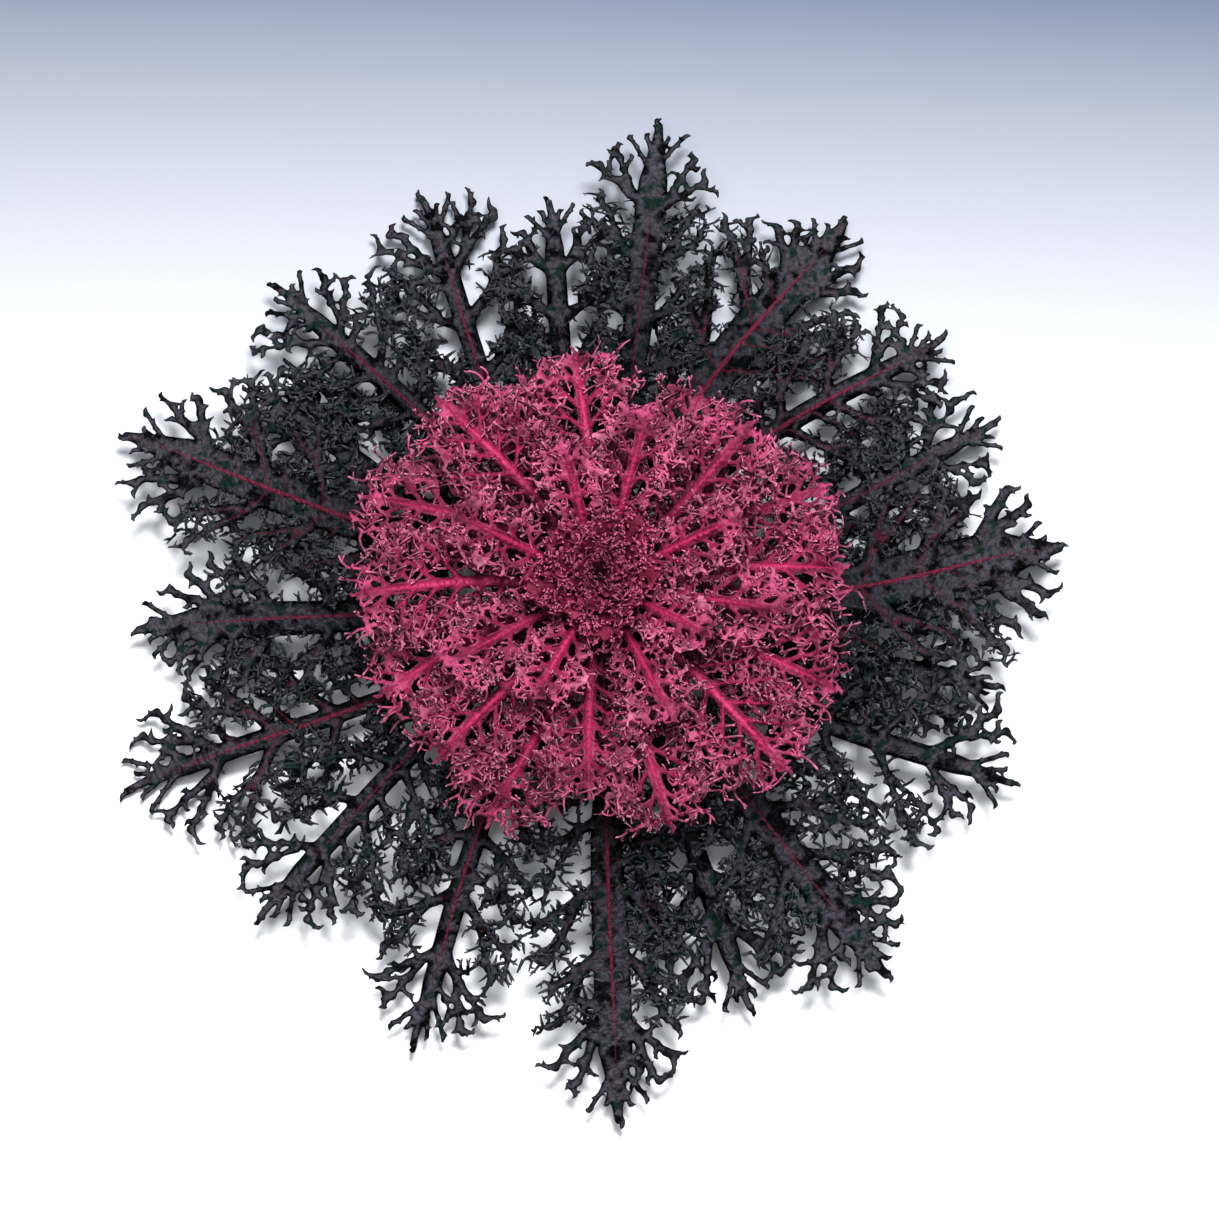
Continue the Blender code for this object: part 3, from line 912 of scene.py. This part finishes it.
def tubes(lines, radii, sides=4, flat=(1, 1)):
    """Closed tapering tubes, one for each line of points, all with as many points."""
    count, rings, _ = lines.shape
    ahead = np.gradient(lines, axis=1)
    ahead /= np.maximum(np.linalg.norm(ahead, axis=2, keepdims=True), 1e-12)
    side = np.cross(ahead, np.array([0.31, 0.47, 0.83]))
    side /= np.maximum(np.linalg.norm(side, axis=2, keepdims=True), 1e-12)
    rise = np.cross(ahead, side)
    turn = 2 * math.pi * np.arange(sides) / sides
    ring = flat[0] * side[:, :, None] * np.cos(turn)[:, None]
    ring = ring + flat[1] * rise[:, :, None] * np.sin(turn)[:, None]
    rim = lines[:, :, None] + ring * radii[:, :, None, None]
    tips = lines[:, -1] + ahead[:, -1] * radii[:, -1, None] * 0.8
    points = np.concatenate([rim.reshape(count, -1, 3), tips[:, None]], axis=1)
    faces = []
    for r in range(rings - 1):
        for k in range(sides):
            a, b = r * sides + k, r * sides + (k + 1) % sides
            faces += [(a, b, b + sides), (a, b + sides, a + sides)]
    last = (rings - 1) * sides
    faces += [(last + k, last + (k + 1) % sides, last + sides) for k in range(sides)]
    faces += [(0, k + 1, k) for k in range(1, sides - 1)]
    size = points.shape[1]
    faces = (np.array(faces)[None] + size * np.arange(count)[:, None, None]).reshape(-1, 3)
    ranks = np.concatenate([np.repeat(np.arange(rings), sides), [rings]]) / rings
    return points.reshape(-1, 3), faces, np.tile(ranks, count)


def teeth_lines(rng, feet, outward, form, longer):
    """Curled teeth in leaf coordinates: lines of points and their radii, with forks on most."""
    lines, radii = [], []
    profile = np.array(form.tooth_profile)
    steps = len(profile) - 1

    def add(foot, heading, length, radius):
        curl = rng.normal(0, form.tooth_curl, 3)
        points = [foot]
        for _ in range(steps):
            heading = heading + curl / steps
            heading = heading / np.linalg.norm(heading)
            points.append(points[-1] + heading * length / steps)
        lines.append(points)
        radii.append(profile * radius)
        return points, heading

    for foot, out, more in zip(feet, outward, longer):
        rise = math.radians(rng.uniform(*form.tooth_rise))
        swing = math.radians(rng.uniform(-TOOTH_SWING, TOOTH_SWING))
        flat = np.array([
            out[0] * math.cos(swing) - out[1] * math.sin(swing),
            out[0] * math.sin(swing) + out[1] * math.cos(swing),
        ])
        heading = np.array([flat[0] * math.cos(rise), flat[1] * math.cos(rise), math.sin(rise)])
        start = np.array([*(foot - TOOTH_SINK * out), 0])
        length = rng.uniform(*form.tooth_length) * more
        radius = form.tooth_radius * rng.uniform(*TOOTH_SPREAD)
        points, heading = add(start, heading, length, radius)
        for _ in range(rng.choice([0, 1, 2], p=FORK_CHANCES)):
            turned = heading + rng.normal(0, FORK_TURN, 3)
            add(points[-2], turned, length * rng.uniform(*FORK_LENGTH), FORK_RADIUS * radius)
    return np.array(lines), np.array(radii)


def painted_foot_shade(path, points):
    """How dark points are painted for being near the leaf's foot, as shade from the leaves above: 1
    there, 0 from some way along it.
    """
    near = 1 - smooth((points[:, 0] - path.root) / (path.form.shaded * (path.reach - path.root)))
    # The young leaves of the heart add painted shade all along, more of it towards the eye.
    return near + path.dim * (1 - near)


def grow_leaf(path, shape, settings):
    """Adds one whole leaf to a shape: its blade, and the curled teeth along its edges."""
    form = path.form
    branches = leaf_branches(path)
    every = np.vstack([b.points for b in branches])
    margin = 9 * MM
    low = (every[:, 0].min(), every[:, 1].min() - margin)
    high = (every[:, 0].max() + margin, every[:, 1].max() + margin)
    field = Field((low[0] - 2 * form.grid, low[1]), high, form.grid, form.blend)
    for branch in branches:
        field.stamp(branch)
    field.settle()
    x = field.low[0] + field.grid * np.arange(field.shape[0])
    field.values = np.maximum(field.values, (path.root - SUNK - x)[:, None])
    verts, faces, on_edge, veins, border = fill(field, form, branches)
    points, triangles, inner = blade_points(verts, faces, on_edge, field, path, settings.blade)
    # Lighter towards the blade's sides: a painted highlight on the dark leaves, and partly paler colour,
    # partly painted highlight on the magenta ones.
    tips = 0.5 * np.clip(np.abs(verts[:, 1]) / path.half_width, 0, 1) ** 3
    along = (verts[:, 0] - path.root) / (path.reach - path.root)
    veins = veins * path.vein * (1 - 0.6 * smooth((along - 0.6) / 0.4))
    # The foot value is painted shade. On the dark leaves the rim value is painted shade and the tip value
    # painted highlight.
    values = {"vein": veins, "tip": tips, "rim": on_edge.astype(float), "foot": painted_foot_shade(path, verts)}
    values = {label: np.concatenate([v, v[inner]]) for label, v in values.items()}
    shape.add(path.place(points), triangles, **values)

    rng = np.random.default_rng(70 + path.order)
    start = path.root + form.petiole * (path.reach - path.root)
    limit = path.root + form.tooth_inner * (path.reach - path.root)
    pace = max(1, round(form.tooth_spacing / form.spacing))
    chosen = border[:: pace]
    wanted = (chosen[:, 0] > start) & (chosen[:, 0] < limit) & (np.abs(chosen[:, 1]) > form.tooth_from)
    chosen = chosen[wanted]
    longer = 0.75 + 0.5 * np.clip((chosen[:, 0] - path.root) / (path.reach - path.root), 0, 1)
    lines, radii = teeth_lines(rng, chosen, field.outward(chosen), form, settings.curls * longer)
    tube_points, tube_faces, ranks = tubes(lines, radii, 3, form.tooth_flat)
    # The curls take only a share of the painted shade at the foot, so that they show lit over it, and
    # they grow lighter to their tips, partly as painted highlight.
    foot = form.shaded_teeth * painted_foot_shade(path, tube_points)
    shape.add(path.place(tube_points), tube_faces, tip=ranks**2, foot=foot)


def add_leaf(order, material, settings):
    path = LeafPath(order)
    shape = Shape()
    grow_leaf(path, shape, settings)
    piece = shape.build(path.node.replace("leaf", "blade"), material)
    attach(piece, "root")
    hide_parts(path.node)
    return piece


def add_heart(material, settings):
    """The core and its young leaves, in one piece."""
    shape = Shape()
    heights = HEART_BASE + HEART_CORE_HEIGHT * np.array([0.02, 0.3, 0.62, 0.88, 1.0])
    line = np.column_stack([np.zeros(5), np.zeros(5), heights])
    radii = HEART_CORE_RADIUS * np.array([0.96, 1.0, 0.86, 0.55, 0.2])
    points, faces, _ = tubes(line[None], radii[None], sides=20)
    # The core takes the full painted shade: it is painted near black as the shaded eye at the centre.
    shape.add(points, faces, foot=1.0)
    for order in range(HEART_COUNT):
        grow_leaf(YoungLeafPath(order), shape, settings)
    piece = shape.build("young_leaves", material)
    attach(piece, "root")
    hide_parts("heart")
    return piece


def add_stem(material):
    """The stalk, turned up from its cut face ring by ring, and swollen where leaves have grown."""
    bpy.ops.object.select_all(action="DESELECT")
    radius = STEM_PROFILE[0][0] * MM
    bpy.ops.mesh.primitive_circle_add(vertices=STEM_SIDES, radius=radius, fill_type="NGON")
    stem = bpy.context.object
    stem.name = "stalk"
    bpy.ops.object.mode_set(mode="EDIT")
    bpy.ops.mesh.select_all(action="SELECT")
    bpy.ops.mesh.flip_normals()
    for (r, z), (r_next, z_next) in zip(STEM_PROFILE, STEM_PROFILE[1:]):
        steps = max(1, round((z_next - z) / RING))
        for k in range(steps):
            a, b = between((r, r_next), k / steps), between((r, r_next), (k + 1) / steps)
            bpy.ops.mesh.extrude_region_move(
                TRANSFORM_OT_translate={"value": (0, 0, (z_next - z) / steps * MM)}
            )
            bpy.ops.transform.resize(value=(b / a, b / a, 1))
    bpy.ops.mesh.select_all(action="SELECT")
    bpy.ops.mesh.normals_make_consistent(inside=False)
    bpy.ops.object.mode_set(mode="OBJECT")
    bpy.ops.object.shade_smooth_by_angle(angle=math.radians(40))
    stem.data.materials.append(material)
    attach(stem, "root")
    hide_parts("stem")
    return stem


def principled(name):
    """A new material, its nodes and links, and its shader."""
    material = bpy.data.materials.new(name)
    material.use_nodes = True
    nodes, links = material.node_tree.nodes, material.node_tree.links
    return material, nodes, links, nodes["Principled BSDF"]


def noise(nodes, links, vector, scale, detail, roughness=0.5):
    """A noise over a vector, with so many features to a metre."""
    node = nodes.new("ShaderNodeTexNoise")
    node.inputs["Scale"].default_value = scale
    node.inputs["Detail"].default_value = detail
    node.inputs["Roughness"].default_value = roughness
    links.new(vector, node.inputs["Vector"])
    return node


def scaled(nodes, links, vector, scale):
    """A vector stretched along each axis."""
    node = nodes.new("ShaderNodeMapping")
    node.inputs["Scale"].default_value = scale
    links.new(vector, node.inputs["Vector"])
    return node.outputs["Vector"]


def ramp(nodes, links, value, stops):
    """The colour that stops give for a value."""
    node = nodes.new("ShaderNodeValToRGB")
    while len(node.color_ramp.elements) < len(stops):
        node.color_ramp.elements.new(0.5)
    for element, (position, colour) in zip(node.color_ramp.elements, stops):
        element.position = position
        element.color = (*colour, 1)
    links.new(value, node.inputs["Fac"])
    return node.outputs["Color"]


def spanned(nodes, links, value, low, high):
    """A value turned into a share, 0 at low and 1 at high."""
    node = nodes.new("ShaderNodeMapRange")
    node.inputs["From Min"].default_value = low
    node.inputs["From Max"].default_value = high
    links.new(value, node.inputs["Value"])
    return node.outputs["Result"]


def bumped(nodes, links, height, strength, distance, shader):
    """Roughens a shader's surface by a height."""
    node = nodes.new("ShaderNodeBump")
    node.inputs["Strength"].default_value = strength
    node.inputs["Distance"].default_value = distance
    links.new(height, node.inputs["Height"])
    links.new(node.outputs["Normal"], shader.inputs["Normal"])


def stalk_material(green):
    """Pale green stalk with corky, purple patches, and paler pith on the cut."""
    material, nodes, links, shader = principled("stalk")
    place = nodes.new("ShaderNodeTexCoord").outputs["Object"]
    grain = noise(nodes, links, scaled(nodes, links, place, (1, 1, 0.25)), 180, 5).outputs["Fac"]
    patches = [(0.32, (0.10, 0.09, 0.035)), (0.55, green), (0.7, (0.16, 0.05, 0.07))]
    across = nodes.new("ShaderNodeVectorMath")
    across.operation = "LENGTH"
    links.new(scaled(nodes, links, place, (1, 1, 0)), across.inputs[0])
    run = spanned(nodes, links, across.outputs["Value"], 0, STEM_PROFILE[0][0] * MM)
    pith = [(0.0, (0.55, 0.54, 0.36)), (0.5, (0.62, 0.60, 0.42))]
    pith += [(0.72, (0.36, 0.34, 0.2)), (0.95, (0.2, 0.22, 0.09))]
    split = nodes.new("ShaderNodeSeparateXYZ")
    links.new(place, split.inputs["Vector"])
    on_cut = nodes.new("ShaderNodeMath")
    on_cut.operation = "LESS_THAN"
    on_cut.inputs[1].default_value = 0.1 * MM
    links.new(split.outputs["Z"], on_cut.inputs[0])
    mix = nodes.new("ShaderNodeMix")
    mix.data_type = "RGBA"
    links.new(on_cut.outputs["Value"], mix.inputs["Factor"])
    links.new(ramp(nodes, links, grain, patches), mix.inputs["A"])
    links.new(ramp(nodes, links, run, pith), mix.inputs["B"])
    links.new(mix.outputs["Result"], shader.inputs["Base Color"])
    shader.inputs["Roughness"].default_value = 0.7
    bumped(nodes, links, grain, 0.8, 1 * MM, shader)
    return material


def pucker_group():
    """Height of a puckered blade: low along a net of fine veins, with a grain over it."""
    group = bpy.data.node_groups.new("pucker", "ShaderNodeTree")
    group.interface.new_socket("Place", in_out="INPUT", socket_type="NodeSocketVector")
    size = group.interface.new_socket("Cells to a metre", in_out="INPUT", socket_type="NodeSocketFloat")
    size.default_value = 340
    group.interface.new_socket("Height", in_out="OUTPUT", socket_type="NodeSocketFloat")
    nodes, links = group.nodes, group.links
    given, made = nodes.new("NodeGroupInput"), nodes.new("NodeGroupOutput")
    wander = noise(nodes, links, given.outputs["Place"], 500, 2)
    shift = nodes.new("ShaderNodeVectorMath")
    shift.operation = "MULTIPLY_ADD"
    shift.inputs[1].default_value = (2 * MM, 2 * MM, 2 * MM)
    net = nodes.new("ShaderNodeTexVoronoi")
    net.feature = "DISTANCE_TO_EDGE"
    grain = noise(nodes, links, given.outputs["Place"], 900, 2)
    add = nodes.new("ShaderNodeMath")
    add.operation = "MULTIPLY_ADD"
    add.inputs[1].default_value = 0.35
    round_off = nodes.new("ShaderNodeMath")
    round_off.operation = "POWER"
    round_off.inputs[1].default_value = 0.6
    links.new(wander.outputs["Color"], shift.inputs[0])
    links.new(given.outputs["Place"], shift.inputs[2])
    links.new(shift.outputs["Vector"], net.inputs["Vector"])
    links.new(given.outputs["Cells to a metre"], net.inputs["Scale"])
    links.new(net.outputs["Distance"], round_off.inputs[0])
    links.new(grain.outputs["Fac"], add.inputs[0])
    links.new(round_off.outputs["Value"], add.inputs[2])
    links.new(add.outputs["Value"], made.inputs["Height"])
    return group


def leaf_material(name, shades, tints, ribs, wax, mottled):
    """A waxy leaf, mottled between shades, with other colours on its rims, tips, foot and veins. The foot
    colour is painted shade, and the rim, tip and vein colours that the callers give hold painted shade
    and painted highlight on some leaves.
    """
    material, nodes, links, shader = principled(name)
    place = nodes.new("ShaderNodeTexCoord").outputs["Object"]
    mottle = noise(nodes, links, place, mottled, 4, 0.55)
    colour = ramp(nodes, links, mottle.outputs["Fac"], shades)
    # The foot mix paints shade; the rim, tip and vein mixes paint shade and highlight where the callers'
    # colours are set for it.
    for label in ("rim", "tip", "vein", "foot"):
        read = nodes.new("ShaderNodeAttribute")
        read.attribute_name = label
        value = read.outputs["Fac"]
        mix = nodes.new("ShaderNodeMix")
        mix.data_type = "RGBA"
        links.new(colour, mix.inputs["A"])
        if label == "vein":
            low, high, stops = ribs
            links.new(spanned(nodes, links, value, low, high), mix.inputs["Factor"])
            links.new(ramp(nodes, links, value, stops), mix.inputs["B"])
        else:
            links.new(value, mix.inputs["Factor"])
            mix.inputs["B"].default_value = (*tints[label], 1)
        colour = mix.outputs["Result"]
    links.new(colour, shader.inputs["Base Color"])
    roughness, specular, relief = wax
    shader.inputs["Roughness"].default_value = roughness
    shader.inputs["Specular IOR Level"].default_value = specular
    net = nodes.new("ShaderNodeGroup")
    net.node_tree = bpy.data.node_groups.get("pucker") or pucker_group()
    links.new(place, net.inputs["Place"])
    bumped(nodes, links, net.outputs["Height"], relief, 1.5 * MM, shader)
    return material


def tone(name, description, default):
    """A colour that a user may change."""
    return FloatVectorProperty(
        name=name, description=description, subtype="COLOR", size=3, default=default, min=0, max=1
    )


class KALE_PG_settings(bpy.types.PropertyGroup):
    """Sizes and colours that a user would change."""

    blade: FloatProperty(
        name="Half thickness",
        description="Half the thickness of an outer leaf's blade away from its veins",
        subtype="DISTANCE",
        unit="LENGTH",
        default=0.42 * MM,
        min=0.1 * MM,
        max=1.5 * MM,
        precision=5,
    )
    curls: FloatProperty(
        name="Length of curls",
        description="Length of the curled teeth, as a share of their usual length",
        subtype="FACTOR",
        default=1.0,
        min=0.3,
        max=1.5,
    )
    stalk: tone("Stalk", "Colour of the stalk's skin", (0.24, 0.25, 0.11))
    dark: tone("Outer leaves", "Colour of the dark leaves between black and green", (0.070, 0.062, 0.080))
    magenta: tone("Inner leaves", "Colour of the magenta leaves", (0.37, 0.049, 0.128))
    young: tone("Heart", "Colour of the young leaves", (0.15, 0.010, 0.035))


class KALE_OT_stem(bpy.types.Operator):
    """Turn the cut stalk"""

    bl_idname = "kale.stem"
    bl_label = "Stalk"

    def execute(self, context):
        add_stem(stalk_material(tuple(context.scene.kale.stalk)))
        return {"FINISHED"}


class KALE_OT_outer_leaves(bpy.types.Operator):
    """Grow the dark outer leaves"""

    bl_idname = "kale.outer_leaves"
    bl_label = "Outer leaves"

    def execute(self, context):
        settings = context.scene.kale
        shades = [
            (0.39, (0.0015, 0.0015, 0.002)),
            (0.52, tuple(settings.dark)),
            (0.62, (0.008, 0.022, 0.018)),
        ]
        # The rim colour is painted shade along the dark leaves' edges, the tip colour a painted
        # grey-green highlight on their sides and curls, and the foot colour painted shade.
        tints = {
            "rim": (0.0015, 0.0015, 0.002),
            "tip": (0.10, 0.11, 0.115),
            "foot": (0.001, 0.002, 0.002),
        }
        ribs = (0.3, 0.6, [(0.4, (0.12, 0.015, 0.035)), (1.0, (0.25, 0.028, 0.07))])
        material = leaf_material("outer_leaf", shades, tints, ribs, (0.5, 0.03, 0.9), 170)
        for order in range(DARK_COUNT):
            add_leaf(order, material, settings)
        return {"FINISHED"}


class KALE_OT_inner_leaves(bpy.types.Operator):
    """Grow the magenta inner leaves"""

    bl_idname = "kale.inner_leaves"
    bl_label = "Inner leaves"

    def execute(self, context):
        settings = context.scene.kale
        shades = [(0.42, (0.05, 0.004, 0.014)), (0.60, tuple(settings.magenta))]
        # The foot colour is painted shade; the pale tip colour is partly the leaves' own paler pink and
        # partly painted highlight.
        tints = {"rim": (0.37, 0.048, 0.13), "tip": (0.74, 0.25, 0.39), "foot": (0.006, 0.001, 0.002)}
        # The ribs are the leaves' own brighter crimson, with a painted highlight along the ridge and
        # painted shade at its borders.
        stops = [(0.2, (0.10, 0.005, 0.02)), (0.6, (0.31, 0.014, 0.07)), (1.0, (0.52, 0.04, 0.14))]
        material = leaf_material("inner_leaf", shades, tints, (0.0, 0.35, stops), (0.5, 0.08, 0.5), 120)
        for order in range(DARK_COUNT, DARK_COUNT + MAGENTA_COUNT):
            add_leaf(order, material, settings)
        return {"FINISHED"}


class KALE_OT_heart(bpy.types.Operator):
    """Grow the young leaves at the heart"""

    bl_idname = "kale.heart"
    bl_label = "Heart"

    def execute(self, context):
        settings = context.scene.kale
        shades = [(0.38, (0.03, 0.0015, 0.006)), (0.62, tuple(settings.young))]
        # The foot colour is painted shade; the pink tip colour on the beads is partly their own colour
        # and partly painted highlight.
        tints = {"rim": (0.20, 0.012, 0.05), "tip": (0.62, 0.13, 0.26), "foot": (0.004, 0.0005, 0.001)}
        ribs = (0.0, 0.5, [(0.3, (0.05, 0.003, 0.01)), (1.0, (0.12, 0.008, 0.03))])
        material = leaf_material("young_leaf", shades, tints, ribs, (0.5, 0.08, 0.3), 150)
        add_heart(material, settings)
        return {"FINISHED"}


class KALE_OT_stage(bpy.types.Operator):
    """Set the floor, the lights and the camera"""

    bl_idname = "kale.stage"
    bl_label = "Stage"

    def execute(self, context):
        add_floor(context)
        add_lights(context)
        add_camera(context)
        return {"FINISHED"}


class KALE_PT_panel(bpy.types.Panel):
    """Sizes, colours and pieces of the kale head"""

    bl_idname = "KALE_PT_panel"
    bl_label = "Ornamental kale"
    bl_space_type = "VIEW_3D"
    bl_region_type = "UI"
    bl_category = "Kale"

    def draw(self, context):
        column = self.layout.column()
        for name in KALE_PG_settings.__annotations__:
            column.prop(context.scene.kale, name)
        for operator in STEPS:
            column.operator(operator.bl_idname)


# The floor's colour fades along one way in plan, between two distances from the head's axis: a painted
# fall-off of the light, shaded towards the back.
FLOOR_SIZE = 6
FADE_WAY = (0.04, 1, 0)
FADE_SPAN = (-0.03, 0.22)

# Each light's place, its size and its power in watts, and the sky's colour and strength.
KEY = ((0.11, 0.31, 1.47), 0.34, 35)
FILL = ((-0.15, -0.05, 1.5), 0.8, 11)
SKY = ((0.92, 0.95, 1.0), 0.10)

# The camera looks at its target from the front of the head, and this width fits its view there.
CAMERA_ELEVATION = 80
CAMERA_AWAY = 1.3
CAMERA_TARGET = (0.0031, 0.0008, 0)
VIEW_WIDTH = 0.402


def add_floor(context):
    """A wide pale floor, white in front and painted a shaded blue-grey towards the back of the view,
    where the light falls off.
    """
    bpy.ops.object.select_all(action="DESELECT")
    bpy.ops.mesh.primitive_plane_add(size=FLOOR_SIZE)
    floor = context.object
    floor.name = "floor"
    material, nodes, links, shader = principled("floor")
    away = nodes.new("ShaderNodeVectorMath")
    away.operation = "DOT_PRODUCT"
    away.inputs[1].default_value = FADE_WAY
    links.new(nodes.new("ShaderNodeTexCoord").outputs["Object"], away.inputs[0])
    run = spanned(nodes, links, away.outputs["Value"], *FADE_SPAN)
    # The far colour is painted shade, standing in for the light falling off towards the back.
    fade = ramp(nodes, links, run, [(0.0, (0.86, 0.87, 0.90)), (1.0, (0.124, 0.150, 0.215))])
    links.new(fade, shader.inputs["Base Color"])
    shader.inputs["Roughness"].default_value = 0.9
    shader.inputs["Specular IOR Level"].default_value = 0.1
    floor.data.materials.append(material)


def add_lights(context):
    """A soft key light from behind the head, a wide one overhead, and a dim sky."""
    world = bpy.data.worlds.new("studio")
    context.scene.world = world
    world.use_nodes = True
    sky = world.node_tree.nodes["Background"]
    sky.inputs["Color"].default_value = (*SKY[0], 1)
    sky.inputs["Strength"].default_value = SKY[1]
    for name, (place, size, power) in (("key", KEY), ("fill", FILL)):
        data = bpy.data.lights.new(name, "AREA")
        data.shape = "DISK"
        data.size = size
        data.energy = power
        light = bpy.data.objects.new(name, data)
        light.location = place
        light.rotation_euler = (-Vector(place)).to_track_quat("-Z", "Y").to_euler()
        context.scene.collection.objects.link(light)


def add_camera(context):
    """The camera, nearly overhead, with the front of the head at the bottom of its view."""
    elevation = math.radians(CAMERA_ELEVATION)
    data = bpy.data.cameras.new("camera")
    data.sensor_width = 36
    data.lens = data.sensor_width * CAMERA_AWAY / VIEW_WIDTH
    data.clip_end = 20
    camera = bpy.data.objects.new("camera", data)
    back = Vector((0, -math.cos(elevation), math.sin(elevation)))
    camera.location = Vector(CAMERA_TARGET) + CAMERA_AWAY * back
    camera.rotation_euler = (math.pi / 2 - elevation, 0, 0)
    context.scene.collection.objects.link(camera)
    context.scene.camera = camera
    context.scene.view_settings.view_transform = "Standard"


STEPS = (KALE_OT_stage, KALE_OT_stem, KALE_OT_outer_leaves, KALE_OT_inner_leaves, KALE_OT_heart)
CLASSES = (KALE_PG_settings, *STEPS, KALE_PT_panel)


def register():
    for cls in CLASSES:
        bpy.utils.register_class(cls)
    bpy.types.Scene.kale = PointerProperty(type=KALE_PG_settings)


def unregister():
    del bpy.types.Scene.kale
    for cls in reversed(CLASSES):
        bpy.utils.unregister_class(cls)


def main():
    register()
    bpy.ops.kale.stage()
    bpy.ops.kale.stem()
    bpy.ops.kale.outer_leaves()
    bpy.ops.kale.inner_leaves()
    bpy.ops.kale.heart()


if __name__ == "__main__":
    main()
